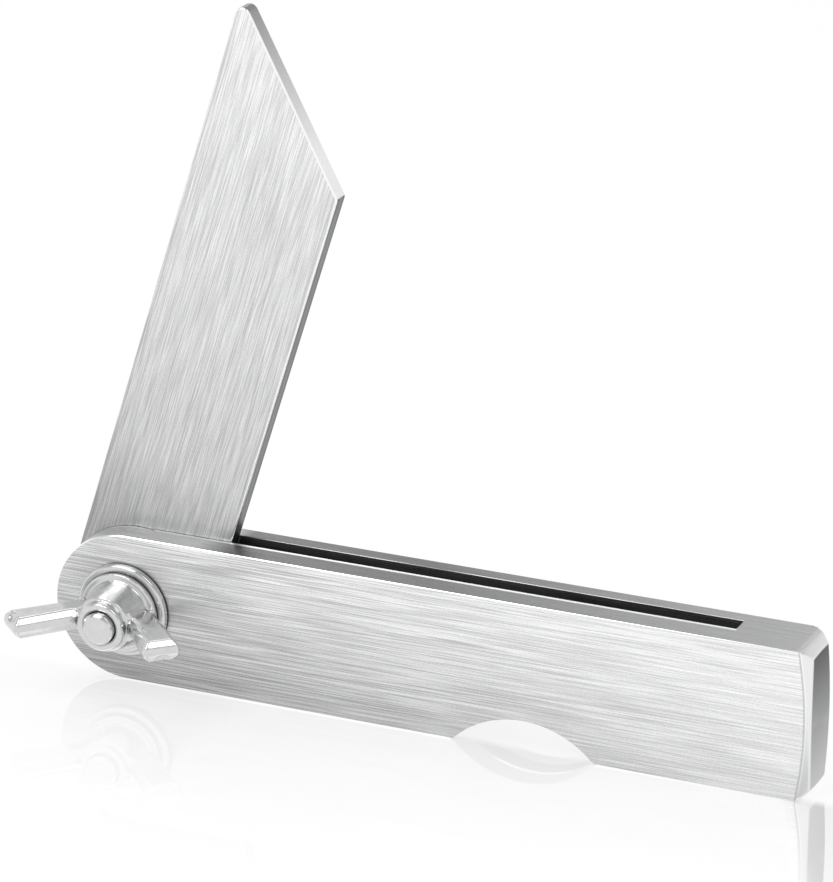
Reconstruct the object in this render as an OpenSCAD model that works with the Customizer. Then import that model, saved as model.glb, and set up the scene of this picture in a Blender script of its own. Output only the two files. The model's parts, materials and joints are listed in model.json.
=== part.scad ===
// Bevel gauge: a slotted steel stock, a blade that turns on a clamp bolt and folds into the slot,
// and a wing nut that clamps the two cheeks of the stock on the blade.
// Along X the stock runs from its round pivot end to its square end, the wing nut faces -Y,
// and the tool stands on its long edge at z = 0. Sizes are in millimetres.

/* [Stock] */
// Overall length of the stock
stock_length = 145; // [120:1:250]
// Height of the stock, from edge to edge
stock_height = 28; // [24:0.5:40]
// Thickness of the stock, from cheek to cheek
stock_thickness = 12.2; // [11:0.1:20]
// Chamfer that breaks the long edges of the stock
edge_break = 0.2; // [0.1:0.05:0.8]

/* [Slot] */
// Side clearance between the blade and each cheek
slot_clearance = 0.1; // [0.05:0.05:0.3]
// Shift of the slot from the middle of the stock towards the back cheek
slot_shift = 1.05; // [0:0.05:1.5]
// Length of solid metal that closes the slot at the square end
solid_end = 15.6; // [10:0.1:30]
// Chamfer that breaks the lips of the slot
lip_break = 0.1; // [0.1:0.05:0.5]

/* [Finger notch] */
// Distance of the notch's middle from the square end
notch_from_end = 53; // [45:0.5:65]
// Radius of the notch's arc
notch_radius = 18.4; // [12:0.1:24]
// Depth of the notch in the bottom edge
notch_depth = 5.9; // [3:0.1:9]
// Radius where the notch runs out into the bottom edge
notch_runout = 2; // [0.5:0.5:4]

/* [Square end] */
// Width of the chamfer towards the front cheek, at its middle
front_chamfer = 0.9; // [0.6:0.1:2.5]
// Width of the chamfer towards the back cheek, at its middle
back_chamfer = 1.9; // [0.6:0.1:2.5]
// Width of the chamfers towards the long edges, at their middles
edge_chamfer = 1.7; // [0.6:0.1:2.5]
// How far the middles of the cheeks' chamfers stand out past their ends
chamfer_crown = 1; // [0.3:0.1:1.2]
// How far the middle of the end face stands out past its top and bottom
end_crown = 0.3; // [0.2:0.05:0.8]

/* [Blade] */
// Thickness of the blade
blade_thickness = 3.6; // [2:0.1:4]
// Step from the stock's edges to the folded blade's edges
blade_inset = 0.1; // [0.05:0.05:0.5]
// Angle between the blade's long edge and the cut at its tip
tip_angle = 45; // [35:1:60]
// Radius of the blade's tip
tip_round = 1.55; // [0.5:0.05:3]
// Gap between the folded blade's tip and the end of the slot
tip_gap = 0.35; // [0.2:0.05:2]
// Angle between the blade and the stock
blade_angle = 72.4; // [0:0.1:180]

/* [Clamp bolt] */
// Thread diameter of the bolt
bolt_d = 6; // [5:0.5:7]
// Radial clearance of the pieces that turn on the bolt
turning_clearance = 0.05; // [0.02:0.01:0.1]
// Clearance on each side of the pieces that only slip over the bolt
slip_clearance = 0.2; // [0.1:0.05:0.4]
// Diameter of the bolt's head
head_d = 12; // [10:0.5:14]
// Height of the bolt's head
head_height = 2.2; // [1.6:0.1:3]
// Gap between the square neck and the blade
neck_gap = 0.5; // [0.3:0.1:1]
// Length of bolt that shows past the wing nut
bolt_proud = 1.1; // [0.3:0.1:1.8]
// Chamfer on the bolt's end
bolt_chamfer = 0.5; // [0.2:0.1:1]

/* [Washer] */
// Outside diameter of the washer
washer_d = 17.5; // [16:0.5:22]
// Thickness of the washer
washer_thickness = 1.6; // [1:0.1:2.5]
// Chamfer on the washer's rim
washer_break = 0.3; // [0.1:0.05:0.4]

/* [Wing nut] */
// Diameter of the flange at the nut's foot
flange_d = 15; // [14:0.5:16]
// Thickness of the flange
flange_thickness = 1.15; // [0.8:0.05:2]
// Diameter of the hub where it leaves the flange
hub_d = 12.6; // [11:0.1:13.4]
// Diameter of the hub below the collar
hub_top_d = 10.3; // [9.9:0.1:10.5]
// Height of the hub with its collar
hub_height = 8.6; // [8:0.1:10]
// Diameter of the collar at the hub's end
collar_d = 9.2; // [9:0.1:9.8]
// Height of the collar
collar_height = 1.7; // [1.5:0.1:2.5]
// Radius of the collar's rim
collar_round = 0.5; // [0.3:0.1:0.8]
// Width and depth of the groove between the hub and the collar
collar_groove = 0.35; // [0.2:0.05:0.8]
// Width of the countersink round the bolt at the collar
bore_chamfer = 0.5; // [0.2:0.05:0.8]
// Distance of the middle of a wing's end from the bolt's axis
wing_reach = 15.4; // [13:0.1:18]
// Height of the middle of a wing's end above the washer
wing_rise = 13.9; // [11:0.1:16]
// Height of the middle of a wing above the washer where it leaves the hub
root_rise = 3.4; // [3.4:0.1:4]
// Breadth of a wing at its end
wing_breadth = 7; // [6:0.1:9]
// Breadth of a wing at the hub
root_breadth = 6; // [4:0.1:6.2]
// Thickness of a wing
wing_thickness = 4; // [3:0.1:5]
// Radius of a wing's corners
wing_round = 0.8; // [0.5:0.1:1.6]
// Draft of a wing's narrow sides, from the parting line to the broad sides' edges
wing_draft = 0.3; // [0.1:0.05:0.4]
// Rounding of the edges of a wing's broad sides
wing_edge = 1; // [0.2:0.05:1.2]
// Radius of the fillets between a wing's broad sides and the hub
root_fillet = 1.5; // [0.5:0.1:2.5]
// Radius of the hollow in the edge of a wing's end
scoop_radius = 2.3; // [1.8:0.1:2.8]
// Depth of the hollow in the edge of a wing's end
scoop_depth = 1.7; // [0.8:0.1:2.2]
// Distance of the hollow's middle past the end of the wing
scoop_offset = 0.7; // [0:0.1:1.2]

/* [Hidden] */
$fn = 96;
// Overlap that keeps cuts and joints clean
eps = 0.5;

// Pivot and stock
pivot_z = stock_height / 2;
square_end_x = stock_length - stock_height / 2;
slot_end_x = square_end_x - solid_end;
slot_width = blade_thickness + 2 * slot_clearance;
slot_back_y = slot_shift + slot_width / 2;
front_y = -stock_thickness / 2;
back_y = stock_thickness / 2;
notch_x = square_end_x - notch_from_end;

// Blade, along its own axis from the pivot
blade_width = stock_height - 2 * blade_inset;
tip_reach = slot_end_x - tip_gap;
sharp_reach = tip_reach + tip_round / tan(tip_angle / 2) - tip_round;
short_reach = sharp_reach - blade_width / tan(tip_angle);

// Bores, where the slip bore's width is also that of the square hole for the bolt's neck,
// and the clamp's stack in front of the stock
turning_bore_d = bolt_d + 2 * turning_clearance;
slip_bore_d = bolt_d + 2 * slip_clearance;
washer_front_y = front_y - washer_thickness;
bolt_end_y = washer_front_y - hub_height - bolt_proud;
head_end_y = back_y + head_height;

// Wing outline, with x away from the axis and y away from the washer
hub_middle_r = (hub_d + hub_top_d) / 4;
wing_end = [wing_reach, wing_rise];
wing_root = [hub_middle_r, root_rise];
wing_dir = unit(wing_end - wing_root);
wing_side = [wing_dir.y, -wing_dir.x];
// The wing is drawn on into the hub by a quarter of the bolt's diameter
sunk_root = wing_root - wing_dir * bolt_d / 4;
// Reach of a wing's rounded corners, sideways and away from the washer
corner_half = wing_breadth / 2 - wing_round;
wing_span = 2 * (wing_end.x + corner_half * wing_side.x + wing_round * (1 - wing_dir.x));
wing_height = wing_end.y - corner_half * wing_side.y + wing_round * (1 - wing_dir.y);
// Bite of the root fillets into the wing's broad sides
fillet_bite = 0.08;

// The frame's origin is the middle of the footprint
frame_shift = [
    -(square_end_x - max(wing_span, stock_height) / 2) / 2,
    -(head_end_y + washer_front_y - wing_height) / 2,
    0
];

function unit(v) = v / norm(v);
function half_angle(d1, d2) = acos(d1 * d2) / 2;
// Centre of the circle that rounds a corner whose sides leave it along d1 and d2
function round_center(c, d1, d2, r) = c + unit(d1 + d2) * r / sin(half_angle(d1, d2));
// Point on the side along d where that circle touches it
function touch_point(c, d, other, r) = c + d * r / tan(half_angle(d, other));

// Outline with its convex corners rounded, one radius for each corner
module rounded_outline(points, radii) {
    n = len(points);
    function to(i, j) = unit(points[(j + n) % n] - points[i]);
    polygon([
        for (i = [0 : n - 1], side = radii[i] > 0 ? [-1, 1] : [0])
            side == 0
                ? points[i]
                : touch_point(points[i], to(i, i + side), to(i, i - side), radii[i])
    ]);
    for (i = [0 : n - 1])
        if (radii[i] > 0)
            translate(round_center(points[i], to(i, i - 1), to(i, i + 1), radii[i]))
                circle(radii[i]);
}

// Places a piece drawn from the pivot in the part's frame
module from_pivot() {
    translate(frame_shift + [0, 0, pivot_z]) children();
}

// Places a turned piece, whose axis is drawn along z, with z pointing towards -Y from the plane y
module along_bolt(y) {
    translate([0, y, 0]) rotate([90, 0, 0]) children();
}

// Bar section of the stock in y and z, or half the section of its round end
module stock_section(bottom_z, top_z, bottom_break) {
    polygon([
        [front_y + bottom_break, bottom_z],
        [back_y - bottom_break, bottom_z],
        [back_y, bottom_z + bottom_break],
        [back_y, top_z - edge_break],
        [back_y - edge_break, top_z],
        [front_y + edge_break, top_z],
        [front_y, top_z - edge_break],
        [front_y, bottom_z + bottom_break]
    ]);
}

// Section of the slot's upper half in y and z, flared at the lips
module slot_section(bottom_z) {
    flare = lip_break + eps;
    half = slot_width / 2;
    translate([slot_shift, 0])
        polygon([
            [-half, bottom_z],
            [half, bottom_z],
            [half, pivot_z - lip_break],
            [half + flare, pivot_z + eps],
            [-half - flare, pivot_z + eps],
            [-half, pivot_z - lip_break]
        ]);
}

// Runs a section drawn in y and z along X
module along_stock(from_x, to_x) {
    translate([from_x, 0, 0])
        rotate([90, 0, 90])
            linear_extrude(to_x - from_x) children();
}

// Turns a half section drawn in y and z about the pivot's axis
module about_pivot() {
    rotate([-90, 0, 0])
        rotate_extrude() rotate([0, 0, -90]) mirror([1, 0]) children();
}

// Slot through the stock, open at the round end
module slot() {
    for (side = [0, 1])
        mirror([0, 0, side]) along_stock(0, slot_end_x) slot_section(-eps);
    about_pivot() slot_section(0);
}

// Finger notch in the bottom edge, run out into it by two arcs
module finger_notch() {
    center_z = notch_depth - notch_radius;
    runout_x = sqrt(pow(notch_radius + notch_runout, 2) - pow(notch_runout - center_z, 2));
    share = notch_radius / (notch_radius + notch_runout);
    touch = [runout_x * share, center_z + (notch_runout - center_z) * share];
    translate([notch_x, back_y + eps, -pivot_z])
        rotate([90, 0, 0])
            linear_extrude(stock_thickness + 2 * eps) {
                translate([0, center_z]) circle(notch_radius);
                difference() {
                    polygon([
                        [-runout_x, -eps],
                        [runout_x, -eps],
                        [runout_x, 0],
                        touch,
                        [-touch.x, touch.y],
                        [-runout_x, 0]
                    ]);
                    for (side = [-1, 1])
                        translate([side * runout_x, notch_runout]) circle(notch_runout);
                }
            }
}

// Shell that trims one edge of the square end to a crowned chamfer.
// The chamfer runs along the direction that z is turned to, over the length given.
module crowned_barrel(run, crown) {
    radius = (run * run / 4 + crown * crown) / (2 * crown);
    translate([-radius, 0, 0])
        rotate([90, 0, 0]) cylinder(h = 4 * run, r = radius, center = true, $fn = 360);
}

// Solid metal that stays at the square end, inside its four chamfers and its crowned face
module square_end_form() {
    intersection() {
        translate([square_end_x, 0, 0]) crowned_barrel(stock_height, end_crown);
        intersection_for(edge = [[front_y, -45, front_chamfer], [back_y, 45, back_chamfer]])
            translate([square_end_x, edge[0], 0])
                rotate([0, 0, edge[1]])
                    translate([-edge[2] / sqrt(2), 0, 0])
                        crowned_barrel(stock_height, chamfer_crown);
        intersection_for(side = [-1, 1])
            translate([square_end_x, 0, side * pivot_z])
                rotate([0, -side * 45, 0])
                    translate([-edge_chamfer / sqrt(2), 0, 0])
                        rotate([90, 0, 0])
                            crowned_barrel(stock_thickness, end_crown);
    }
}

// Everything that the chamfers and the crown take off the square end
module square_end_trim() {
    depth = max(front_chamfer, back_chamfer, edge_chamfer) + 3 * chamfer_crown + eps;
    difference() {
        translate([square_end_x - depth, front_y - eps, -pivot_z - eps])
            cube([depth + eps, stock_thickness + 2 * eps, stock_height + 2 * eps]);
        square_end_form();
    }
}

// Body with the slot, the finger notch and the holes for the clamp bolt
module stock() {
    color("#b4b6b9")
        from_pivot()
            difference() {
                union() {
                    along_stock(0, square_end_x) stock_section(-pivot_z, pivot_z, edge_break);
                    about_pivot() stock_section(0, pivot_z, 0);
                }
                slot();
                finger_notch();
                square_end_trim();
                along_bolt(slot_shift)
                    cylinder(h = stock_thickness, d = slip_bore_d);
                translate([-slip_bore_d / 2, slot_shift, -slip_bore_d / 2])
                    cube([slip_bore_d, stock_thickness, slip_bore_d]);
            }
}

// Flat blade with a round heel about the pivot and a slanting cut at its tip
module blade() {
    half = blade_width / 2;
    color("#c3c5c8")
        from_pivot()
            translate([0, slot_shift + blade_thickness / 2, 0])
                rotate([0, -blade_angle, 0])
                    rotate([90, 0, 0])
                        linear_extrude(blade_thickness)
                            difference() {
                                union() {
                                    circle(half);
                                    rounded_outline(
                                        [[0, -half], [short_reach, -half], [sharp_reach, half], [0, half]],
                                        [0, 0, tip_round, 0]
                                    );
                                }
                                circle(d = turning_bore_d);
                            }
}

// Bolt with a low round head and a square neck that keeps it from turning
module clamp_bolt() {
    neck_end_y = slot_back_y + neck_gap;
    dome_r = (head_d * head_d / 4 + head_height * head_height) / (2 * head_height);
    color("#cfd1d4")
        from_pivot() {
            along_bolt(neck_end_y + eps)
                rotate_extrude()
                    polygon([
                        [0, 0],
                        [bolt_d / 2, 0],
                        [bolt_d / 2, neck_end_y + eps - bolt_end_y - bolt_chamfer],
                        [bolt_d / 2 - bolt_chamfer, neck_end_y + eps - bolt_end_y],
                        [0, neck_end_y + eps - bolt_end_y]
                    ]);
            translate([-bolt_d / 2, neck_end_y, -bolt_d / 2])
                cube([bolt_d, back_y - neck_end_y + eps, bolt_d]);
            intersection() {
                translate([0, back_y + head_height - dome_r, 0]) sphere(dome_r);
                along_bolt(head_end_y) cylinder(h = head_height, d = head_d);
            }
        }
}

// Plain washer between the wing nut and the front cheek
module washer() {
    rim = washer_d / 2;
    color("#d4d6d9")
        from_pivot()
            along_bolt(front_y)
                rotate_extrude()
                    polygon([
                        [slip_bore_d / 2, 0],
                        [rim - washer_break, 0],
                        [rim, washer_break],
                        [rim, washer_thickness - washer_break],
                        [rim - washer_break, washer_thickness],
                        [slip_bore_d / 2, washer_thickness]
                    ]);
}

// Half section of the flange, the tapered hub, and the grooved collar at its end
module hub_section() {
    collar_foot = hub_height - collar_height;
    rim_foot = collar_foot + collar_groove;
    rim_r = collar_d / 2;
    polygon([
        [0, 0],
        [flange_d / 2, 0],
        [flange_d / 2, flange_thickness],
        [hub_d / 2, flange_thickness],
        [hub_top_d / 2, collar_foot],
        [0, collar_foot]
    ]);
    translate([0, collar_foot - eps]) square([rim_r - collar_groove, collar_height]);
    rounded_outline(
        [[0, rim_foot], [rim_r, rim_foot], [rim_r, hub_height], [0, hub_height]],
        [0, 0, collar_round, 0]
    );
}

// Outline of one wing, drawn in by the inset
module wing_outline(inset) {
    offset(delta = -inset)
        rounded_outline(
            [
                sunk_root - wing_side * root_breadth / 2,
                sunk_root + wing_side * root_breadth / 2,
                wing_end + wing_side * wing_breadth / 2,
                wing_end - wing_side * wing_breadth / 2
            ],
            [0, 0, wing_round, wing_round],
            $fn = 32
        );
}

// Wing lofted from its outline at the parting line to its drawn-in broad sides
module wing_loft() {
    half = wing_thickness / 2;
    skin = 0.01;
    layers = [[0, 0], [half - wing_edge, wing_draft], [half - skin, wing_draft + wing_edge]];
    hull()
        for (side = [0, 1], layer = layers)
            mirror([0, 0, side])
                translate([0, 0, layer[0]])
                    linear_extrude(skin) wing_outline(layer[1]);
}

// Section of the wing's root seen along the bolt: webs that fillet the broad sides into the hub
module root_section() {
    half = wing_thickness / 2;
    reach = hub_middle_r + root_fillet;
    center = [sqrt(reach * reach - pow(half + root_fillet, 2)), half + root_fillet];
    touch = center * hub_middle_r / reach;
    for (side = [0, 1])
        mirror([0, side])
            difference() {
                polygon([[0, 0], [center.x, 0], [center.x, half], touch]);
                translate(center - [0, fillet_bite]) circle(root_fillet);
            }
}

// One wing with its filleted root and the hollow in the edge of its end
module wing() {
    difference() {
        union() {
            wing_loft();
            translate([0, flange_thickness - eps, 0])
                rotate([-90, 0, 0])
                    linear_extrude(root_rise + root_breadth / 2 - flange_thickness + eps) root_section();
        }
        translate(wing_end + wing_dir * scoop_offset)
            translate([0, 0, wing_thickness / 2 - scoop_depth + scoop_radius])
                sphere(scoop_radius);
    }
}

// Nut with a flanged hub and two splayed wings, drawn with its axis along z
module wing_nut() {
    color("#d9dbde")
        from_pivot()
            along_bolt(washer_front_y)
                difference() {
                    union() {
                        rotate_extrude() hub_section();
                        for (side = [0, 1])
                            rotate([0, 0, side * 180]) rotate([90, 0, 0]) wing();
                    }
                    translate([0, 0, -eps]) cylinder(h = hub_height + 2 * eps, d = turning_bore_d);
                    translate([0, 0, hub_height - bore_chamfer])
                        cylinder(
                            h = bore_chamfer + eps,
                            d1 = turning_bore_d,
                            d2 = turning_bore_d + 2 * (bore_chamfer + eps)
                        );
                }
}

stock();
blade();
clamp_bolt();
washer();
wing_nut();
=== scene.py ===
"""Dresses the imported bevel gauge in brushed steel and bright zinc, and sets up its studio shot."""

import json
import math

import bpy
from bpy.props import FloatProperty, FloatVectorProperty, PointerProperty
from bpy.types import Operator, Panel, PropertyGroup
from mathutils import Euler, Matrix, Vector

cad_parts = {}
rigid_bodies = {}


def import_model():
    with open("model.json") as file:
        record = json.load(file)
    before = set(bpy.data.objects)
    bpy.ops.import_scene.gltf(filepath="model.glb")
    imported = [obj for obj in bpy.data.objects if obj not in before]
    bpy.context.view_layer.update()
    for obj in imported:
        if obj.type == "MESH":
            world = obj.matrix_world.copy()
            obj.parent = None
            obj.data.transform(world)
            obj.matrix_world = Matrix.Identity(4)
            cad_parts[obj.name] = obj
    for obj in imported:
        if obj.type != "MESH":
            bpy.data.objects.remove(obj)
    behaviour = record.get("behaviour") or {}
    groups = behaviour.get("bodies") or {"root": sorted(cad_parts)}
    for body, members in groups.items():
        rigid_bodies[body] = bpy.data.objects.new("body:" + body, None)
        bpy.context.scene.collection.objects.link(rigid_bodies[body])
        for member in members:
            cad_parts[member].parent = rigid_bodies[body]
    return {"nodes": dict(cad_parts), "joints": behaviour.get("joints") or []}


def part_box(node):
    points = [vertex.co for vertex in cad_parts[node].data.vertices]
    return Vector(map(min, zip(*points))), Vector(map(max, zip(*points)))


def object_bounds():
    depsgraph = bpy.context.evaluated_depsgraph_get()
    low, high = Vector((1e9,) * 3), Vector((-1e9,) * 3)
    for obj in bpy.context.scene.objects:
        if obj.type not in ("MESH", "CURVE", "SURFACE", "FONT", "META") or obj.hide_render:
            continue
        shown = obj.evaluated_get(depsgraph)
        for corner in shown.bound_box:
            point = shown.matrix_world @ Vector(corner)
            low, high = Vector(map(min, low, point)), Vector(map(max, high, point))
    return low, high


for leftover in list(bpy.data.objects):
    bpy.data.objects.remove(leftover)
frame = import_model()
CAD_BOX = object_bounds()

# Places and sizes of the pieces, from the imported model
JOINTS = {joint["name"]: joint for joint in frame["joints"]}
PIVOT = Vector(JOINTS["blade_pivot"]["pos_m"])
STOCK_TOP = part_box("stock")[1].z
HALF_STOCK = STOCK_TOP / 2
STOCK_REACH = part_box("stock")[1].x - PIVOT.x
BLADE_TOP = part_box("blade")[1].z - PIVOT.z
BLADE_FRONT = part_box("blade")[0].y - PIVOT.y
BLADE_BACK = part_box("blade")[1].y - PIVOT.y
BLADE_MIDDLE = (BLADE_FRONT + BLADE_BACK) / 2

MM = 0.001
WHITE = (1, 1, 1, 1)

# Bends from which an edge is sharp, is rounded at the square end, or parts two flats
SHARP = math.radians(32)
BENT = math.radians(14)
FLAT = math.radians(0.3)

# Distances within which the corners of a mesh are joined: of any piece, of the stock, of its square end
WELD = 0.002 * MM
STOCK_WELD = 0.03 * MM
END_WELD = 0.45 * MM

# Place and size of each lamp
LAMPS = {
    "key": ((-0.30, -0.34, 0.72), 0.5),
    "fill": ((0.46, -0.06, 0.82), 0.4),
    "rim": ((-0.44, 0.50, 0.66), 0.35),
}

bl_info = {
    "name": "Bevel Gauge Finish",
    "version": (1, 0, 0),
    "blender": (4, 5, 0),
    "location": "View3D > Sidebar > Bevel Gauge",
    "description": "Brushed steel, bright zinc and a studio shot for a bevel gauge",
    "category": "Object",
}


def length(name, description, default):
    """A size in the panel, in metres."""
    return FloatProperty(name=name, description=description, default=default, unit="LENGTH", precision=6)


def angle(name, description, degrees):
    """An angle in the panel."""
    default = math.radians(degrees)
    return FloatProperty(name=name, description=description, default=default, unit="ROTATION")


def share(name, description, default):
    """A number from 0 to 1 in the panel."""
    limits = {"min": 0, "max": 1, "subtype": "FACTOR"}
    return FloatProperty(name=name, description=description, default=default, **limits)


def tone(name, description, default):
    """A colour in the panel."""
    limits = {"min": 0, "max": 1, "subtype": "COLOR"}
    return FloatVectorProperty(name=name, description=description, default=default, **limits)


def power(name, description, default):
    """A lamp's power in the panel."""
    return FloatProperty(name=name, description=description, default=default, unit="POWER", min=0)


class SteelFinish(PropertyGroup):
    """Brushed steel of the stock and the blade."""

    face: tone("Brushed face", "Colour of the broad faces where they are brightest", (0.89, 0.892, 0.896))
    # Painted shade: the narrow edges' colours are set dark to stand in for their darker reflections
    edge: tone("Stock's edge", "Colour of the stock's narrow, ground edges", (0.315, 0.317, 0.321))
    side: tone("Blade's edge", "Colour of the blade's narrow, ground edges", (0.18, 0.182, 0.185))
    # Painted highlight: the white of the thin lines along the edges, which also take a lower roughness
    arris: tone("Burnished arris", "Colour of the thin burnished line along each edge", (1.0, 1.0, 1.0))
    # Painted highlight: the bright colour of the chamfers round the square end
    corner: tone("Square end", "Colour of the chamfers round the stock's square end", (0.84, 0.842, 0.846))
    # Painted shade: the dark colour of the walls in the slot
    painted_slot_shade: tone("Slot wall", "Colour of the unbrushed walls in the slot", (0.24, 0.24, 0.243))
    # Painted light and shade: how bright the stock's broad faces are painted at the pivot, and how much
    # darker towards its foot
    stock_painted_sheen: share("Stock's sheen", "Brightness of the stock's brushing at the pivot", 0.80)
    stock_painted_fall: share("Stock's fall", "How much duller the stock's brushing is along its foot", 0.40)
    # Painted light: how bright the blade's broad faces are painted at its foot, rising to its tip
    blade_painted_sheen: share("Blade's sheen", "Brightness of the blade's brushing at its foot", 0.65)
    stock_contrast: share("Stock's contrast", "How far the stock's hairlines depart from its colour", 0.36)
    blade_contrast: share("Blade's contrast", "How far the blade's hairlines depart from its colour", 0.38)
    hair_width: length("Hairline width", "Width of the finest hairlines", 0.14 * MM)
    stock_hair: length("Stock's hairlines", "Length of the finest hairlines on the stock", 16 * MM)
    blade_hair: length("Blade's hairlines", "Length of the finest hairlines on the blade", 9 * MM)
    roughness: share("Roughness", "Roughness of the brushed faces", 0.34)
    blade_angle: angle("Blade angle", "Angle of the blade's hairlines to the stock", 72.4)
    blade_width: length("Blade width", "Width of the blade, which its mitred end crosses", 27.8 * MM)
    blade_round: length("Blade's edge rounding", "Rounding of the blade's edges", 0.34 * MM)
    stock_round: length("Stock's edge rounding", "Rounding of the stock's arrises", 0.03 * MM)
    end_round: length("Square end's rounding", "Rounding of the square end's chamfers", 0.5 * MM)
    end_chamfer: length("Square end's chamfer", "Reach of its chamfers along the stock", 2.6 * MM)
    # Sizes of the band down the front, which painted highlight and shade lines edge
    front_chamfer: length("Front band", "Least width of the band down the front's square end", 0.9 * MM)
    band_crown: length("Front band's crown", "How much wider the band is at its top and foot", 1.37 * MM)
    solid_end: length("Solid end", "Length of the stock past its slot", 15.6 * MM)
    slot_gap: length("Slot gap", "Gap on each side of the blade in the slot", 0.1 * MM)
    # Painted highlight: the width of the line painted along the slot's front lip
    lip: length("Lip", "Width of the burnished line along the slot's front lip", 0.9 * MM)


class ZincFinish(PropertyGroup):
    """Bright zinc plate of the bolt, the washer and the wing nut."""

    plate: tone("Plate", "Colour of the bright plate", (0.67, 0.672, 0.676))
    # Edge wear and painted highlight: the lighter plate on the cast nut's convex edges
    wear_and_highlight: tone("Worn edge", "Colour of the plate where handling has polished an edge", (0.74, 0.74, 0.745))
    bolt: tone("Bolt", "Colour of the bolt's plate", (0.68, 0.682, 0.686))
    # Painted shade where plate meets plate, how far it reaches, and the bore near the bolt's axis kept free
    # of it
    crevice: tone("Crevice", "Colour where plate meets plate and stays dull", (0.06, 0.06, 0.062))
    roughness: share("Roughness", "Roughness of the plate", 0.15)
    crevice_reach: length("Crevice reach", "How far the dull plate reaches out of a corner", 1.0 * MM)
    bore: length("Bore", "Distance from the bolt's axis within which no crevice is dull", 3.8 * MM)
    skin: length("Casting skin", "Size of the waves in the cast surface", 1.4 * MM)
    cast_voxel: length("Casting detail", "Grain of the mesh that rounds the cast nut's edges", 0.18 * MM)
    clamp_round: length("Clamp's edge rounding", "Rounding of the bolt's and washer's edges", 0.12 * MM)


class StudioSetup(PropertyGroup):
    """Camera, lamps and floor."""

    eye: FloatVectorProperty(
        name="Camera", description="Place of the camera, from the pivot",
        default=(0.37432, -0.72042, 0.34135), size=3, subtype="TRANSLATION", unit="LENGTH",
    )
    turn: angle("Camera turn", "How far the camera stands to the right of the front", 23.94)
    tilt: angle("Camera tilt", "How far the camera looks down", 21.03)
    lens: FloatProperty(
        name="Lens", description="Focal length on a 36 mm frame", default=197.2, unit="CAMERA",
    )
    floor: share("Floor", "Lightness of the floor, as it lights the object", 0.92)
    shadow: share("Shadow", "Share of the floor's white that a shadow takes away", 0.14)
    gloss: share("Gloss", "Share of the surroundings that the floor mirrors", 0.19)
    ceiling: share("Ceiling", "Brightness overhead, where the horizon is white", 0.56)
    key: power("Key lamp", "Power of the lamp above the front", 2.4)
    fill: power("Fill lamp", "Power of the lamp at the right", 1.0)
    rim: power("Rim lamp", "Power of the lamp above the back", 0.7)


class NodeTree:
    """Adds nodes to one tree, each with its settings and inputs in one call."""

    def __init__(self, tree):
        self.tree = tree

    def add(self, kind, inputs=(), **settings):
        node = self.tree.nodes.new(kind)
        for name, value in settings.items():
            setattr(node, name, value)
        for key, value in dict(inputs).items():
            if isinstance(value, bpy.types.NodeSocket):
                self.tree.links.new(value, node.inputs[key])
            else:
                node.inputs[key].default_value = value
        return node

    def math(self, operation, *values):
        return self.add("ShaderNodeMath", enumerate(values), operation=operation).outputs[0]

    def split(self, vector):
        return self.add("ShaderNodeSeparateXYZ", {0: vector}).outputs


class Nodes(NodeTree):
    """The nodes of one material or world."""

    def __init__(self, owner):
        owner.use_nodes = True
        super().__init__(owner.node_tree)
        self.tree.nodes.clear()

    def product(self, *values):
        result = values[0]
        for value in values[1:]:
            result = self.math("MULTIPLY", result, value)
        return result

    def off(self, value, middle):
        """Distance of a number from a middle."""
        return self.math("ABSOLUTE", self.math("SUBTRACT", value, middle))

    def rest(self, value):
        """What a share leaves of 1."""
        return self.math("SUBTRACT", 1.0, value)

    def spread(self, value, low, high, to_low=0.0, to_high=1.0):
        inputs = {"Value": value, "From Min": low, "From Max": high, "To Min": to_low, "To Max": to_high}
        return self.add("ShaderNodeMapRange", inputs, clamp=True).outputs[0]

    def mix(self, factor, first, second, blend="MIX"):
        inputs = {0: factor, 6: first, 7: second}
        return self.add("ShaderNodeMix", inputs, data_type="RGBA", blend_type=blend).outputs[2]

    def shaded(self, color, shade):
        """A colour made lighter or darker by a number."""
        tint = self.add("ShaderNodeCombineColor", {0: shade, 1: shade, 2: shade}).outputs[0]
        return self.mix(1.0, color, tint, "MULTIPLY")

    def vector_math(self, operation, *vectors):
        return self.add("ShaderNodeVectorMath", enumerate(vectors), operation=operation).outputs

    def noise(self, vector, scale, detail=2.0, roughness=0.5):
        inputs = {"Vector": vector, "Scale": scale, "Detail": detail, "Roughness": roughness}
        return self.add("ShaderNodeTexNoise", inputs).outputs[0]

    def streaks(self, vector, along, across, detail=1.0):
        """Noise in streaks of a length and width along the vector's x, turned so that no ends line up."""
        place = self.add("ShaderNodeMapping", {
            "Vector": vector, "Scale": (1 / along, 1 / across, 1 / across), "Rotation": (0.5, 0.7, 0.4),
        })
        return self.noise(place.outputs[0], 1.0, detail)

    def surface(self, shader):
        self.add("ShaderNodeOutputMaterial", {"Surface": shader.outputs[0]})


def rgba(color):
    return (*color, 1.0)


def new_material(name):
    old = bpy.data.materials.get(name)
    if old:
        bpy.data.materials.remove(old)
    return bpy.data.materials.new(name)


class Grain:
    """Place along a brushed piece, from the pivot, and which way its surface faces."""

    def __init__(self, n, turn):
        coords = n.add("ShaderNodeTexCoord").outputs
        rotation = (0, -turn, 0)
        place = {"Vector": coords["Object"], "Location": PIVOT, "Rotation": rotation}
        facing = {"Vector": coords["Normal"], "Rotation": rotation}
        self.place = n.add("ShaderNodeMapping", place, vector_type="TEXTURE").outputs[0]
        self.along, self.side, self.up = n.split(self.place)
        facing = n.split(n.add("ShaderNodeMapping", facing, vector_type="TEXTURE").outputs[0])
        self.to_end, self.to_side, self.to_top = (n.math("ABSOLUTE", part) for part in facing)
        self.direction = (math.cos(turn), 0, math.sin(turn))


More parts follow.
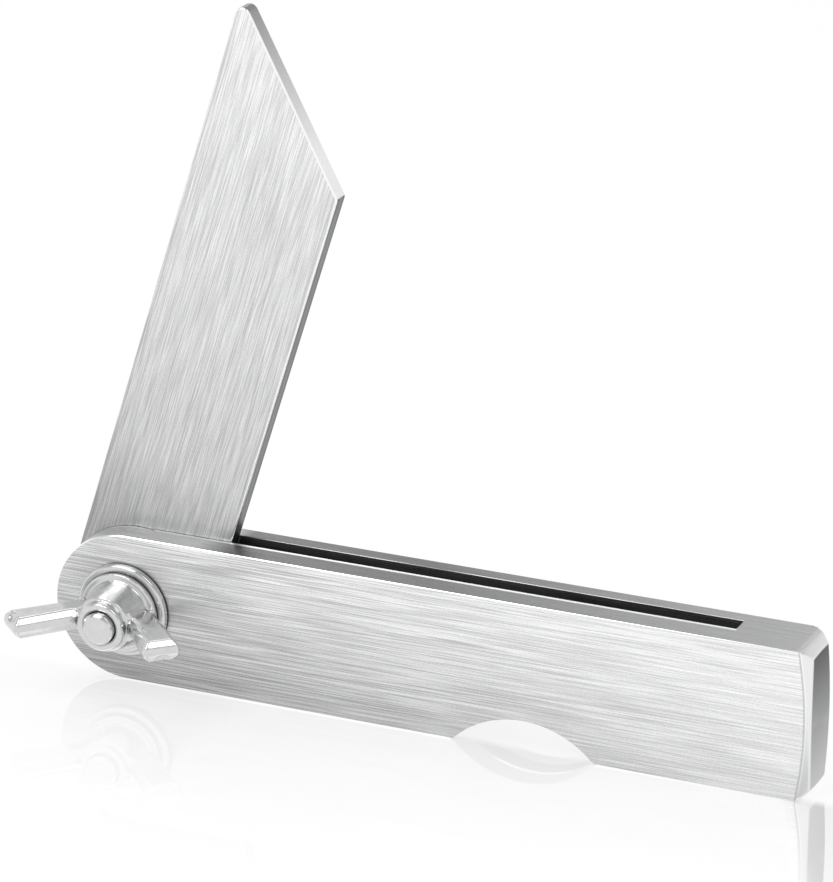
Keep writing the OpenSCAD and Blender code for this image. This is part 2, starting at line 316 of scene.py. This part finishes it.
def hairlines(n, grain, look, size, contrast):
    """Height of the brushing, 0 to 1, and the shade that its streaks, scratches and specks give."""
    width = look.hair_width
    # Streaks of three sizes make the brushing
    fine = n.streaks(grain.place, size, width, 2.0)
    medium = n.streaks(grain.place, 2.5 * size, 3 * width)
    broad = n.streaks(grain.place, 6 * size, 20 * width, 2.0)
    height = n.math("MULTIPLY_ADD", fine, 0.95, n.math("MULTIPLY", medium, 0.03))
    height = n.spread(n.math("MULTIPLY_ADD", broad, 0.02, height), 0.36, 0.64)
    shade = n.math("MULTIPLY_ADD", n.math("SUBTRACT", height, 0.5), contrast, 1.0)
    # Rarer streaks make its scratches and glints
    long_dark = n.spread(n.streaks(grain.place, 2.5 * size, 1.1 * width), 0.66, 0.72, 1, 0.83)
    short_dark = n.spread(n.streaks(grain.place, 0.7 * size, 0.9 * width), 0.66, 0.74, 1, 0.87)
    light = n.spread(n.streaks(grain.place, 2.2 * size, 1.4 * width), 0.29, 0.35, 1.07, 1)
    specks = n.spread(n.noise(grain.place, 1 / (0.25 * MM), 1.0), 0.3, 0.7, 0.95, 1.05)
    cloud = n.spread(n.noise(grain.place, 28.0), 0.3, 0.7, 0.97, 1.03)
    return height, n.product(shade, long_dark, short_dark, light, specks, cloud)


def steel_surface(n, grain, look, color, height, burnished):
    """Brushed metal that spreads its reflections across the grain, apart from where it is burnished."""
    brushed = n.spread(height, 0, 1, look.roughness + 0.08, look.roughness - 0.08)
    roughness = n.math("MULTIPLY", brushed, n.spread(burnished, 0, 1, 1.0, 0.3))
    bump = n.add("ShaderNodeBump", {"Strength": 0.22, "Distance": 0.01 * MM, "Height": height})
    tangent = n.add(
        "ShaderNodeVectorTransform", {0: grain.direction},
        vector_type="VECTOR", convert_from="OBJECT", convert_to="WORLD",
    )
    n.surface(n.add("ShaderNodeBsdfPrincipled", {
        "Base Color": color, "Metallic": 1.0, "Roughness": roughness, "Anisotropic": 0.55,
        "Anisotropic Rotation": 0.25, "Tangent": tangent.outputs[0], "Normal": bump.outputs[0],
    }))


def arrises(n, grain):
    """1 on the roundings and chamfers between the broad faces and the narrow edges, where painted
    highlights and a lower roughness go.
    """
    return n.math("SUBTRACT", n.spread(grain.to_side, 0.06, 0.22), n.spread(grain.to_side, 0.94, 0.985))


def stock_brushing(n, grain, look, height, hair):
    """Colour of the stock's broad faces and narrow edges, with painted light and shade on both."""
    # Painted light and shade: the broad faces are painted brighter towards the square end and darker
    # towards the foot
    down = n.spread(grain.up, HALF_STOCK, -HALF_STOCK)
    sheen = n.spread(grain.along, 0, STOCK_REACH, look.stock_painted_sheen, 1.0)
    fall = n.spread(grain.along, 0, STOCK_REACH, look.stock_painted_fall, look.stock_painted_fall / 2)
    sheen = n.math("SUBTRACT", sheen, n.math("MULTIPLY", fall, n.math("POWER", down, 1.35)))
    face = n.shaded(rgba(look.face), n.math("MULTIPLY", sheen, hair))

    # Painted highlight: towards the square end the narrow edges take the chamfers' bright colour
    chamfer = look.end_chamfer
    to_corner = n.spread(grain.along, STOCK_REACH - 1.3 * chamfer, STOCK_REACH - 0.3 * chamfer)
    # Painted reflection and sheen: the narrow edge is painted bright beside the blade, dim past it and
    # bright again at the square end
    painted_blade_reflection = n.spread(grain.along, 14 * MM, 21 * MM, 2.4, 0.64)
    edge_sheen = n.spread(grain.along, 0.45 * STOCK_REACH, STOCK_REACH, 1.0, 2.6)
    edge_shade = n.product(painted_blade_reflection, edge_sheen, n.spread(height, 0, 1, 0.9, 1.1))
    edge = n.mix(to_corner, n.shaded(rgba(look.edge), edge_shade), rgba(look.corner))
    return n.mix(n.spread(grain.to_side, 0.6, 0.95), edge, face)


def slot_marks(n, grain, look):
    """1 in the slot, where painted shade goes, and 1 on its front lip, where a painted highlight line goes.
    """
    half = (BLADE_BACK - BLADE_FRONT) / 2 + look.slot_gap
    end = STOCK_REACH - look.solid_end
    before_end = n.spread(grain.along, end + 0.1 * MM, end + 0.05 * MM)
    within = n.spread(n.off(grain.side, BLADE_MIDDLE), half + 0.16 * MM, half + 0.12 * MM)
    front = BLADE_MIDDLE - half
    painted_lip_highlight = n.product(
        n.spread(grain.to_top, 0.9, 0.95),
        n.spread(grain.side, front - look.lip, front - 0.7 * look.lip),
        n.spread(grain.side, BLADE_MIDDLE, front),
        before_end,
    )
    return n.math("MULTIPLY", within, before_end), painted_lip_highlight


def square_end(n, grain, look, color, near_end):
    """Adds the painted highlight on the chamfers, the painted lines that edge the band down the front and
    the painted shade on the end face to the stock's colour.
    """
    # Painted highlight on the chamfers, with a little painted shade towards the foot
    flat = n.math("MAXIMUM", grain.to_end, n.math("MAXIMUM", grain.to_side, grain.to_top))
    chamfer = n.math("MULTIPLY", near_end, n.spread(flat, 0.985, 0.96))
    corner_shade = n.spread(grain.up, -HALF_STOCK, 0.4 * HALF_STOCK, 0.95, 1.0)
    color = n.mix(chamfer, color, n.shaded(rgba(look.corner), corner_shade))

    # Painted highlight and shade: a painted highlight line with a painted shade line beside it edges the
    # band, which widens to its top and foot
    blur = 0.1 * MM
    line = 0.35 * MM
    rise = n.math("DIVIDE", grain.up, HALF_STOCK)
    past = n.math("SUBTRACT", grain.along, STOCK_REACH - look.front_chamfer)
    past = n.math("MULTIPLY_ADD", n.math("MULTIPLY", rise, rise), look.band_crown, past)
    in_front = n.spread(grain.to_side, 0.85, 0.9)
    bright = n.product(in_front, n.spread(past, -blur, 0.0), n.spread(past, line + blur, line))
    painted_dark = n.product(in_front, n.spread(past, -line - blur, -line), n.spread(past, 0.0, -blur))
    color = n.mix(n.math("MULTIPLY", painted_dark, 0.4), color, rgba(look.edge))
    color = n.mix(bright, color, rgba(look.arris))

    # Painted shade and reflection down the end face: darkest at its top, lightest at its foot
    end_shade = n.spread(grain.up, -0.84 * HALF_STOCK, 0.92 * HALF_STOCK, 1.83, 0.26)
    return n.mix(n.spread(grain.to_end, 0.9, 0.97), color, n.shaded(rgba(look.edge), end_shade))


def stock_steel(look):
    """Steel brushed along the stock, with painted shade in the slot, painted highlights on its edges, lip
    and chamfers, and painted shade down the square end.
    """
    material = new_material("stock_brushed")
    n = Nodes(material)
    grain = Grain(n, 0.0)
    contrast = n.spread(grain.along, 0, STOCK_REACH, 1.9 * look.stock_contrast, look.stock_contrast)
    height, hair = hairlines(n, grain, look, look.stock_hair, contrast)
    color = stock_brushing(n, grain, look, height, hair)

    in_slot, painted_lip_highlight = slot_marks(n, grain, look)
    # A painted highlight line along the top edge of the broad faces
    painted_top_highlight = n.spread(grain.up, HALF_STOCK - 0.16 * MM, HALF_STOCK - 0.12 * MM)
    painted_top_highlight = n.math("MULTIPLY", painted_top_highlight, n.spread(grain.to_side, 0.9, 0.95))
    # Painted highlight: the roundings outside the slot and the top line are painted white, and take a lower
    # roughness
    arris = n.math("MAXIMUM", n.math("MULTIPLY", arrises(n, grain), n.rest(in_slot)), painted_top_highlight)
    color = n.mix(arris, color, rgba(look.arris))

    chamfer = look.end_chamfer
    near_end = n.spread(grain.along, STOCK_REACH - 1.4 * chamfer, STOCK_REACH - 1.2 * chamfer)
    color = square_end(n, grain, look, color, near_end)

    # Painted highlight along the slot's front lip
    color = n.mix(painted_lip_highlight, color, rgba(look.arris))
    # Painted shade on the slot's walls
    wall = n.math("MULTIPLY", in_slot, n.spread(grain.to_top, 0.9, 0.6))
    color = n.mix(wall, color, n.shaded(rgba(look.painted_slot_shade), n.spread(hair, 0.6, 1.4, 0.5, 1.5)))
    calm = n.math("MULTIPLY", height, n.rest(near_end))
    steel_surface(n, grain, look, color, calm, arris)
    return material


def blade_steel(look):
    """Steel brushed along the blade, with its narrow edges painted darker and its mitred end in painted
    shade that darkens to its tip.
    """
    material = new_material("blade_brushed")
    n = Nodes(material)
    grain = Grain(n, look.blade_angle)
    height, hair = hairlines(n, grain, look, look.blade_hair, look.blade_contrast)
    reach = BLADE_TOP / math.sin(look.blade_angle)
    foot = (STOCK_TOP - PIVOT.z) / math.sin(look.blade_angle)

    # Painted light and shade: the faces are painted brighter towards the tip, with painted shade at the
    # foot beside the stock
    sheen = n.spread(grain.along, foot, reach, look.blade_painted_sheen, 1.0)
    painted_foot_shade = n.spread(grain.along, foot - 3 * MM, foot + 14 * MM, 0.74, 1.0)
    # A painted shade line on the broad faces, 0.65 mm in from each long edge
    to_edge = n.math("SUBTRACT", look.blade_width / 2, n.math("ABSOLUTE", grain.up))
    painted_dark_line = n.spread(n.off(to_edge, 0.65 * MM), 0.1 * MM, 0.3 * MM, 0.86, 1.0)
    face = n.shaded(rgba(look.face), n.product(sheen, painted_foot_shade, hair, painted_dark_line))

    # Painted shade and reflection: the narrow edges are painted darker near the faces and lighter down
    # their middle
    painted_tone = n.spread(n.off(grain.side, BLADE_MIDDLE), 0.3 * MM, 1.1 * MM, 1.2, 0.75)
    edge = n.shaded(rgba(look.side), n.math("MULTIPLY", painted_tone, n.spread(height, 0, 1, 0.9, 1.1)))
    # Painted shade and reflection on the mitred end: lightest at its corner, darkest at the tip
    mitre_shade = n.spread(grain.along, reach - 0.85 * look.blade_width, reach - 3 * MM, 0.97, 0.32)
    mitre_shade = n.math("MULTIPLY", mitre_shade, n.spread(height, 0, 1, 0.97, 1.03))
    edge = n.mix(n.spread(grain.to_end, 0.4, 0.6), edge, n.shaded(rgba(look.face), mitre_shade))

    color = n.mix(n.spread(grain.to_side, 0.6, 0.95), edge, face)
    # Painted highlight: the roundings are painted white, and take a lower roughness
    arris = arrises(n, grain)
    color = n.mix(arris, color, rgba(look.arris))
    steel_surface(n, grain, look, color, height, arris)
    return material


def bright_zinc(name, look, plate, painted_dark, cast):
    """Zinc plate, waved where it covers a casting, with painted shade where it meets other plate and, on a
    cast piece, a lighter plate on its convex edges for wear and a painted highlight.
    """
    material = new_material(name)
    n = Nodes(material)
    coords = n.add("ShaderNodeTexCoord").outputs["Object"]
    waves = n.noise(coords, 1 / look.skin, 3.0, 0.55)
    specks = n.noise(coords, 9 / look.skin, 2.0)

    # Painted shade: ambient occlusion darkens the plate where it meets other plate, but not near the bolt's
    # axis
    hollow = n.add("ShaderNodeAmbientOcclusion", {"Distance": look.crevice_reach}, samples=12)
    from_pivot = n.vector_math("SUBTRACT", coords, PIVOT)[0]
    off_axis = n.vector_math("LENGTH", n.vector_math("MULTIPLY", from_pivot, (1, 0, 1))[0])["Value"]
    open_air = n.spread(hollow.outputs["AO"], 0.3, 0.85)
    open_air = n.math("MAXIMUM", open_air, n.spread(off_axis, look.bore + 0.2 * MM, look.bore))
    color = n.mix(open_air, rgba(painted_dark), rgba(plate))
    if cast:
        # Edge wear and painted highlight: convex edges get a lighter plate
        curve = n.add("ShaderNodeNewGeometry").outputs["Pointiness"]
        color = n.mix(n.spread(curve, 0.53, 0.6), color, rgba(look.wear_and_highlight))
    mottle = n.spread(n.math("MULTIPLY_ADD", specks, 0.4, waves), 0.45, 0.95, 0.93, 1.05)

    roughness = n.spread(waves, 0.3, 0.7, look.roughness - 0.05, look.roughness + 0.09)
    depth = 0.05 * MM if cast else 0.015 * MM
    bump = n.add("ShaderNodeBump", {"Strength": 0.4, "Distance": depth, "Height": waves})
    n.surface(n.add("ShaderNodeBsdfPrincipled", {
        "Base Color": n.shaded(color, mottle), "Metallic": 1.0, "Roughness": roughness,
        "Normal": bump.outputs[0],
    }))
    return material


class Shape(NodeTree):
    """Geometry nodes that take a mesh in and give it out changed."""

    def __init__(self, name):
        super().__init__(bpy.data.node_groups.new(name, "GeometryNodeTree"))
        for way in ("INPUT", "OUTPUT"):
            self.tree.interface.new_socket("Geometry", in_out=way, socket_type="NodeSocketGeometry")
        self.mesh = self.add("NodeGroupInput").outputs[0]

    def above(self, value, limit):
        inputs = {"A": value, "B": limit}
        return self.add("FunctionNodeCompare", inputs, operation="GREATER_THAN").outputs[0]

    def bend_above(self, limit):
        bend = self.add("GeometryNodeInputMeshEdgeAngle").outputs["Unsigned Angle"]
        return self.above(bend, limit)

    def change(self, kind, inputs=(), **settings):
        """Puts the mesh through one more node."""
        self.mesh = self.add(kind, {0: self.mesh, **dict(inputs)}, **settings).outputs[0]

    def done(self):
        self.add("NodeGroupOutput", {0: self.mesh})
        return self.tree


def smooth_by_angle():
    """Nodes, shared by the pieces, that shade a mesh smooth apart from its sharp edges."""
    name = "smooth_by_angle"
    made = bpy.data.node_groups.get(name)
    if made:
        return made
    shape = Shape(name)
    shape.change("GeometryNodeRemoveAttribute", {"Name": "custom_normal"})
    soft = shape.math("SUBTRACT", 1.0, shape.bend_above(SHARP))
    shape.change("GeometryNodeSetShadeSmooth", {"Shade Smooth": soft}, domain="EDGE")
    shape.change("GeometryNodeSetShadeSmooth")
    return shape.done()


def edge_shares(limit, fine):
    """Nodes that share out a rounding: all of it past a place along x, and a fine one elsewhere."""
    shape = Shape("edge_shares")
    place = shape.add("GeometryNodeInputPosition").outputs[0]
    past = shape.above(shape.split(place)[0], limit)
    shape.change("GeometryNodeMergeByDistance", {"Selection": past, "Distance": END_WELD})
    whole = shape.math("MULTIPLY", past, shape.bend_above(BENT))
    part = shape.math("MULTIPLY", shape.bend_above(SHARP), fine)
    weight = {"Name": "bevel_weight_edge", "Value": shape.math("MAXIMUM", whole, part)}
    shape.change("GeometryNodeStoreNamedAttribute", weight, data_type="FLOAT", domain="EDGE")
    return shape.done()


def add_modifier(piece, name, kind, **settings):
    modifier = piece.modifiers.new(name, kind)
    for key, value in settings.items():
        setattr(modifier, key, value)


def close_mesh(piece, near=WELD, flats=True):
    """Joins the mesh's faces at their shared corners, and the triangles of each flat into one face."""
    add_modifier(piece, "close", "WELD", merge_threshold=near)
    if flats:
        add_modifier(piece, "flats", "DECIMATE", decimate_type="DISSOLVE", angle_limit=FLAT)


def round_edges(piece, width, method="ANGLE"):
    """Rounds the piece's sharp edges over and shades it smooth up to the rounding, its flats kept flat."""
    add_modifier(
        piece, "round_over", "BEVEL", width=width, segments=3, limit_method=method,
        angle_limit=SHARP, use_clamp_overlap=False, miter_outer="MITER_ARC",
    )
    add_modifier(piece, "smooth", "NODES", node_group=smooth_by_angle())
    add_modifier(piece, "flatten", "WEIGHTED_NORMAL", keep_sharp=True, weight=100)


def paint(piece, material):
    """Gives the whole piece one material."""
    for place in range(len(piece.data.materials)):
        piece.data.materials[place] = material
    if not piece.data.materials:
        piece.data.materials.append(material)


class GAUGE_OT_dress_stock(Operator):
    """Brush the stock along its length and break its arrises"""

    bl_idname = "gauge.dress_stock"
    bl_label = "Dress Stock"

    def execute(self, context):
        look = context.scene.gauge_steel
        stock = frame["nodes"]["stock"]
        close_mesh(stock, STOCK_WELD)
        limit = PIVOT.x + STOCK_REACH - 1.5 * look.end_chamfer
        shares = edge_shares(limit, look.stock_round / look.end_round)
        add_modifier(stock, "edge_shares", "NODES", node_group=shares)
        round_edges(stock, look.end_round, "WEIGHT")
        paint(stock, stock_steel(look))
        return {"FINISHED"}


class GAUGE_OT_dress_blade(Operator):
    """Brush the blade along its length and round its edges over"""

    bl_idname = "gauge.dress_blade"
    bl_label = "Dress Blade"

    def execute(self, context):
        look = context.scene.gauge_steel
        blade = frame["nodes"]["blade"]
        close_mesh(blade)
        round_edges(blade, look.blade_round)
        paint(blade, blade_steel(look))
        return {"FINISHED"}


class GAUGE_OT_dress_clamp(Operator):
    """Plate the clamp bolt and the washer"""

    bl_idname = "gauge.dress_clamp"
    bl_label = "Dress Bolt and Washer"

    def execute(self, context):
        look = context.scene.gauge_zinc
        # Each piece's plate and its painted shade where it meets other plate; the bolt gets none
        plates = {"clamp_bolt": (look.bolt, look.bolt), "washer": (look.plate, look.crevice)}
        for node, (plate, painted_dark) in plates.items():
            piece = frame["nodes"][node]
            close_mesh(piece)
            round_edges(piece, look.clamp_round)
            paint(piece, bright_zinc(f"{node}_plate", look, plate, painted_dark, cast=False))
        return {"FINISHED"}


class GAUGE_OT_dress_wing_nut(Operator):
    """Round the cast wing nut's edges and corners and plate it"""

    bl_idname = "gauge.dress_wing_nut"
    bl_label = "Dress Wing Nut"

    def execute(self, context):
        look = context.scene.gauge_zinc
        nut = frame["nodes"]["wing_nut"]
        close_mesh(nut, flats=False)
        add_modifier(
            nut, "cast", "REMESH", mode="VOXEL", voxel_size=look.cast_voxel, use_smooth_shade=True,
        )
        add_modifier(nut, "soften", "SMOOTH", factor=0.5, iterations=3)
        paint(nut, bright_zinc("wing_nut_plate", look, look.plate, look.crevice, cast=True))
        return {"FINISHED"}


def seen_directly(n):
    """1 for what the camera, a reflection or glass sees, and 0 for the light that falls on other things."""
    path = n.add("ShaderNodeLightPath").outputs
    seen = n.math("MAXIMUM", path["Is Camera Ray"], path["Is Glossy Ray"])
    return n.math("MAXIMUM", seen, path["Is Transmission Ray"])


def floor_mirror(n, setup):
    """Share that the floor mirrors: most beside the stock's foot, and none away from its front."""
    across, before, _ = n.split(n.add("ShaderNodeTexCoord").outputs["Object"])
    across = n.math("MULTIPLY_ADD", before, math.tan(setup.turn), across)
    round_x, square_x = CAD_BOX[0].x, CAD_BOX[1].x
    return n.product(
        n.spread(before, -65 * MM, 0.0, 0.0, setup.gloss),
        n.spread(before, 4 * MM, 1.5 * MM),
        n.spread(across, square_x - 4 * MM, square_x - 1 * MM, 1.0, 3.5),
        n.spread(across, square_x + 22 * MM, square_x + 9 * MM),
        n.spread(across, round_x - 45 * MM, round_x - 12 * MM),
    )


def floor_paper(setup):
    """White paper that keeps the object's shadow and mirrors a little of its foot."""
    material = new_material("floor_paper")
    n = Nodes(material)
    seen = seen_directly(n)
    lit_share = n.spread(seen, 0, 1, setup.floor, setup.shadow)
    lit = n.add("ShaderNodeBsdfDiffuse", {"Color": n.shaded(WHITE, lit_share)}).outputs[0]
    mirrored = floor_mirror(n, setup)
    strength = n.math("MULTIPLY", seen, n.math("SUBTRACT", 1.0 - 0.95 * setup.shadow, mirrored))
    white = n.add("ShaderNodeEmission", {"Strength": strength}).outputs[0]
    mirror = {"Color": n.shaded(WHITE, mirrored), "Roughness": 0.03}
    gloss = n.add("ShaderNodeBsdfGlossy", mirror).outputs[0]
    paper = n.add("ShaderNodeAddShader", {0: lit, 1: white}).outputs[0]
    n.surface(n.add("ShaderNodeAddShader", {0: paper, 1: gloss}))
    return material


class GAUGE_OT_build_studio(Operator):
    """Set up the camera, the floor, the lamps and the surround"""

    bl_idname = "gauge.build_studio"
    bl_label = "Build Studio"

    def execute(self, context):
        setup = context.scene.gauge_studio
        self.scene = context.scene
        self.camera(setup)
        self.floor(setup)
        self.surround(setup)
        for name, (place, size) in LAMPS.items():
            self.lamp(name, place, size, getattr(setup, name))
        context.scene.view_settings.view_transform = "Standard"
        return {"FINISHED"}

    def put(self, name, data):
        thing = bpy.data.objects.new(name, data)
        self.scene.collection.objects.link(thing)
        return thing

    def camera(self, setup):
        data = bpy.data.cameras.new("camera")
        data.lens = setup.lens
        data.clip_end = 20
        camera = self.put("camera", data)
        camera.location = PIVOT + Vector(setup.eye)
        camera.rotation_euler = Euler((math.pi / 2 - setup.tilt, 0, setup.turn))
        self.scene.camera = camera

    def floor(self, setup):
        half = 6.0
        corners = [(-half, -half, 0), (half, -half, 0), (half, half, 0), (-half, half, 0)]
        mesh = bpy.data.meshes.new("floor")
        mesh.from_pydata(corners, [], [(0, 1, 2, 3)])
        floor = self.put("floor", mesh)
        floor.data.materials.append(floor_paper(setup))

    def surround(self, setup):
        world = bpy.data.worlds.new("studio")
        self.scene.world = world
        n = Nodes(world)
        height = n.split(n.add("ShaderNodeTexCoord").outputs["Generated"])["Z"]
        strength = n.spread(height, 0.30, 0.62, 1.0, setup.ceiling)
        light = n.add("ShaderNodeBackground", {"Color": WHITE, "Strength": strength}).outputs[0]
        n.add("ShaderNodeOutputWorld", {"Surface": light})

    def lamp(self, name, place, size, energy):
        data = bpy.data.lights.new(name, "AREA")
        data.shape = "SQUARE"
        data.size = size
        data.energy = energy
        lamp = self.put(name, data)
        lamp.location = place
        aim = (CAD_BOX[0] + CAD_BOX[1]) / 2 - Vector(place)
        lamp.rotation_euler = aim.to_track_quat("-Z", "Y").to_euler()


class GAUGE_PT_panel(Panel):
    """Sizes, finishes and steps of the bevel gauge"""

    bl_idname = "GAUGE_PT_panel"
    bl_label = "Bevel Gauge"
    bl_space_type = "VIEW_3D"
    bl_region_type = "UI"
    bl_category = "Bevel Gauge"

    def draw(self, context):
        for name, group in GROUPS.items():
            box = self.layout.box()
            box.label(text=name.removeprefix("gauge_").title())
            for setting in group.__annotations__:
                box.prop(getattr(context.scene, name), setting)
        for step in STEPS:
            self.layout.operator(step.bl_idname)


GROUPS = {"gauge_steel": SteelFinish, "gauge_zinc": ZincFinish, "gauge_studio": StudioSetup}
STEPS = (
    GAUGE_OT_dress_stock,
    GAUGE_OT_dress_blade,
    GAUGE_OT_dress_clamp,
    GAUGE_OT_dress_wing_nut,
    GAUGE_OT_build_studio,
)


def register():
    for name, group in GROUPS.items():
        bpy.utils.register_class(group)
        setattr(bpy.types.Scene, name, PointerProperty(type=group))
    for cls in (*STEPS, GAUGE_PT_panel):
        bpy.utils.register_class(cls)


def unregister():
    for cls in (GAUGE_PT_panel, *reversed(STEPS)):
        bpy.utils.unregister_class(cls)
    for name, group in GROUPS.items():
        delattr(bpy.types.Scene, name)
        bpy.utils.unregister_class(group)


def main():
    register()
    bpy.ops.gauge.dress_stock()
    bpy.ops.gauge.dress_blade()
    bpy.ops.gauge.dress_clamp()
    bpy.ops.gauge.dress_wing_nut()
    bpy.ops.gauge.build_studio()


if __name__ == "__main__":
    main()
